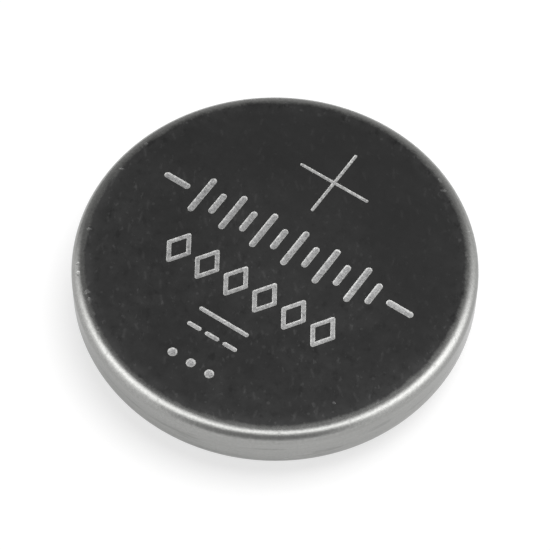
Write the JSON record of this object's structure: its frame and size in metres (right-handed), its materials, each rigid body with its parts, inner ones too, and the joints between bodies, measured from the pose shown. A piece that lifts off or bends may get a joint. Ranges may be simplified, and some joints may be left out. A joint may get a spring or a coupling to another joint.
{
  "type": "lithium coin cell",
  "caption": "Flat round coin cell: a steel can whose rim is crimped over a plastic gasket and a stepped negative cap, with its electrodes inside.",
  "frame": {"origin": "centre of the negative terminal's flat face, at the middle of the base", "axes": "+Z out of the flat positive face, along the cell's axis; +X along the rows of marks on that face, +Y towards its polarity cross"},
  "size_m": [0.016, 0.016, 0.0032],
  "materials": {
    "can_steel": "satin stainless steel, lightly handled",
    "cap_steel": "satin stainless steel",
    "mesh_steel": "expanded metal, raw",
    "gasket": "moulded polypropylene, natural",
    "pellet": "pressed manganese dioxide powder, matt black",
    "separator": "non-woven polypropylene",
    "lithium": "soft lithium metal, dull silver"
  },
  "bodies": {
    "root": {"positive_can": "can_steel", "collector_mesh": "mesh_steel", "cathode_pellet": "pellet", "separator_cup": "separator", "lithium_disc": "lithium", "sealing_gasket": "gasket", "negative_cap": "cap_steel"}
  },
  "joints": []
}
